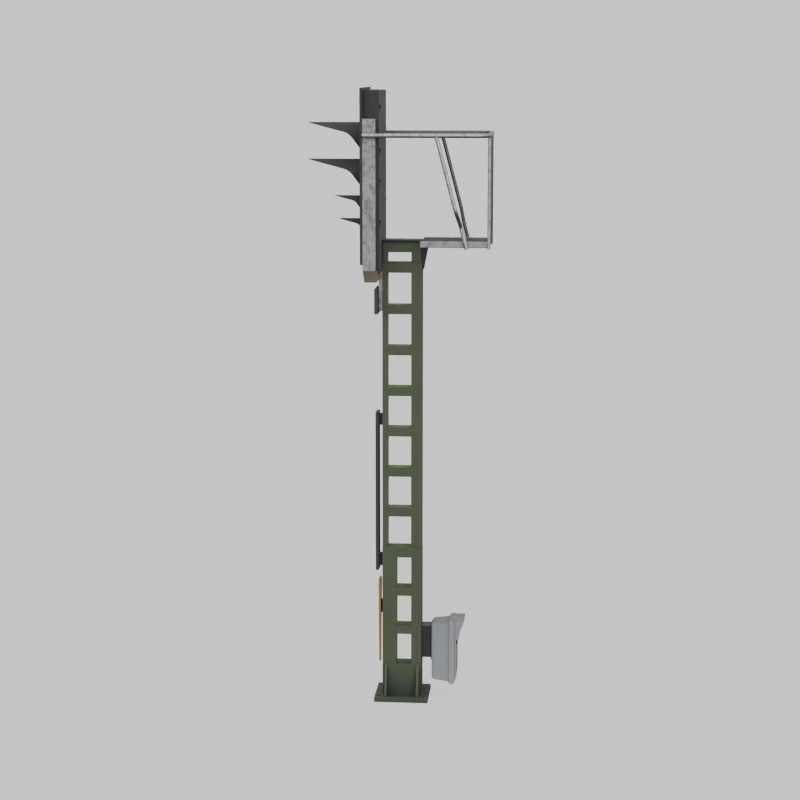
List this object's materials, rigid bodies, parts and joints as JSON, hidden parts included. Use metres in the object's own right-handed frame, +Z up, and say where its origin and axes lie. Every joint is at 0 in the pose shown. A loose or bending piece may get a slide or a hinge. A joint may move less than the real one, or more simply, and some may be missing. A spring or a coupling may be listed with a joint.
{
  "type": "railway colour-light signal",
  "caption": "Colour-light railway signal: long-hooded lamps on a dark board, welded frame mast, rear service platform with handrail, mast signs and a hinged junction box.",
  "frame": {"origin": "centre of the base plate's underside, where it rests on the foundation", "axes": "+Z up the mast, the lamps shine towards -Y, the service platform is on the +Y side, X runs across the track"},
  "size_m": [0.8938, 1.772, 6.006],
  "materials": {
    "mast_green": "satin olive green paint over galvanised steel",
    "dark_steel": "dark grey paint, satin",
    "galvanised": "hot-dip galvanised, mottled and dull",
    "grating_steel": "weathered galvanised grating",
    "primer_brown": "brown primer, matt",
    "board_black": "matt black paint",
    "hood_black": "matt black paint",
    "lens_red": "deep red signal glass",
    "lens_green": "blue-green signal glass",
    "lens_clear": "clear glass",
    "lens_ring_metal": "black paint",
    "optic_metal": "cast and spun aluminium",
    "black_plastic": "black moulded plastic",
    "handle_steel": "zinc-plated",
    "zinc_steel": "zinc-plated fasteners",
    "transformer_grey": "grey stove enamel",
    "terminal_plastic": "beige terminal plastic",
    "seal_rubber": "black cellular rubber",
    "plate_grey": "dark back and rim, blank face",
    "sign_white": "white-red-white reflective panels, dark rim",
    "sign_yellow": "yellow reflective face",
    "box_grey": "light grey glass-fibre plastic"
  },
  "bodies": {
    "root": {"background_board": "board_black", "base_gussets": "mast_green", "base_plate": "mast_green", "bolts_m10": "zinc_steel", "bulb_holders": "black_plastic", "cable_bush": "seal_rubber", "cable_duct": "mast_green", "caution_triangle": "sign_yellow", "door_hinge_bases": "board_black", "door_hinge_pins": "board_black", "door_seals": "seal_rubber", "handrail": "galvanised", "handrail_braces": "galvanised", "handrail_clamps": "galvanised", "handrail_posts": "galvanised", "hood_main_lower": "hood_black", "hood_main_upper": "hood_black", "hood_screws": "zinc_steel", "hood_shunt_lower": "hood_black", "hood_shunt_upper": "hood_black", "housing_shell": "board_black", "housing_terminals": "terminal_plastic", "junction_box_body": "box_grey", "junction_bracket": "dark_steel", "junction_gasket": "seal_rubber", "junction_hinge_pins": "zinc_steel", "junction_terminals": "terminal_plastic", "lamp_transformers": "transformer_grey", "lens_main_lower": "lens_green", "lens_main_upper": "lens_red", "lens_rings": "lens_ring_metal", "lower_crossmember": "primer_brown", "lower_front_channel": "mast_green", "lower_rear_channel": "mast_green", "lower_side_battens": "mast_green", "mast_cap_plate": "dark_steel", "mast_flange_plates": "mast_green", "mast_head_frame": "mast_green", "mast_sign": "sign_white", "mount_rail": "galvanised", "number_plate": "plate_grey", "optic_housings": "optic_metal", "platform_brackets": "dark_steel", "platform_cross_beams": "galvanised", "platform_grating": "grating_steel", "platform_side_beams": "galvanised", "shunt_lenses": "lens_clear", "side_channels": "galvanised", "sign_brackets": "dark_steel", "signal_bulbs": "lens_clear", "upper_front_channel": "mast_green", "upper_rear_channel": "mast_green", "upper_side_battens": "mast_green"},
    "upper_door": {"upper_door": "board_black"},
    "upper_latch": {"upper_door_latch": "handle_steel"},
    "lower_door": {"lower_door": "board_black"},
    "lower_latch": {"lower_door_latch": "handle_steel"},
    "box_lid": {"junction_box_lid": "box_grey"},
    "lid_latch": {"junction_lid_latch": "black_plastic"}
  },
  "joints": [
    {"name": "upper_door_hinge", "type": "hinge", "parent": "root", "child": "upper_door", "pos_m": [0.319, -0.1835, 5.615], "axis": [0, 0, -1], "range_deg": [0, 92]},
    {"name": "upper_latch_turn", "type": "hinge", "parent": "upper_door", "child": "upper_latch", "pos_m": [-0.285, -0.1925, 5.615], "axis": [0, 1, 0], "range_deg": [0, 90]},
    {"name": "lower_door_hinge", "type": "hinge", "parent": "root", "child": "lower_door", "pos_m": [0.319, -0.1835, 4.935], "axis": [0, 0, -1], "range_deg": [0, 92]},
    {"name": "lower_latch_turn", "type": "hinge", "parent": "lower_door", "child": "lower_latch", "pos_m": [-0.285, -0.1925, 4.935], "axis": [0, 1, 0], "range_deg": [0, 90]},
    {"name": "box_lid_hinge", "type": "hinge", "parent": "root", "child": "box_lid", "pos_m": [-0.174, 0.476, 0.5], "axis": [0, 0, 1], "range_deg": [0, 110]},
    {"name": "lid_latch_turn", "type": "hinge", "parent": "box_lid", "child": "lid_latch", "pos_m": [0.112, 0.541, 0.602], "axis": [0, -1, 0], "range_deg": [0, 90]}
  ]
}
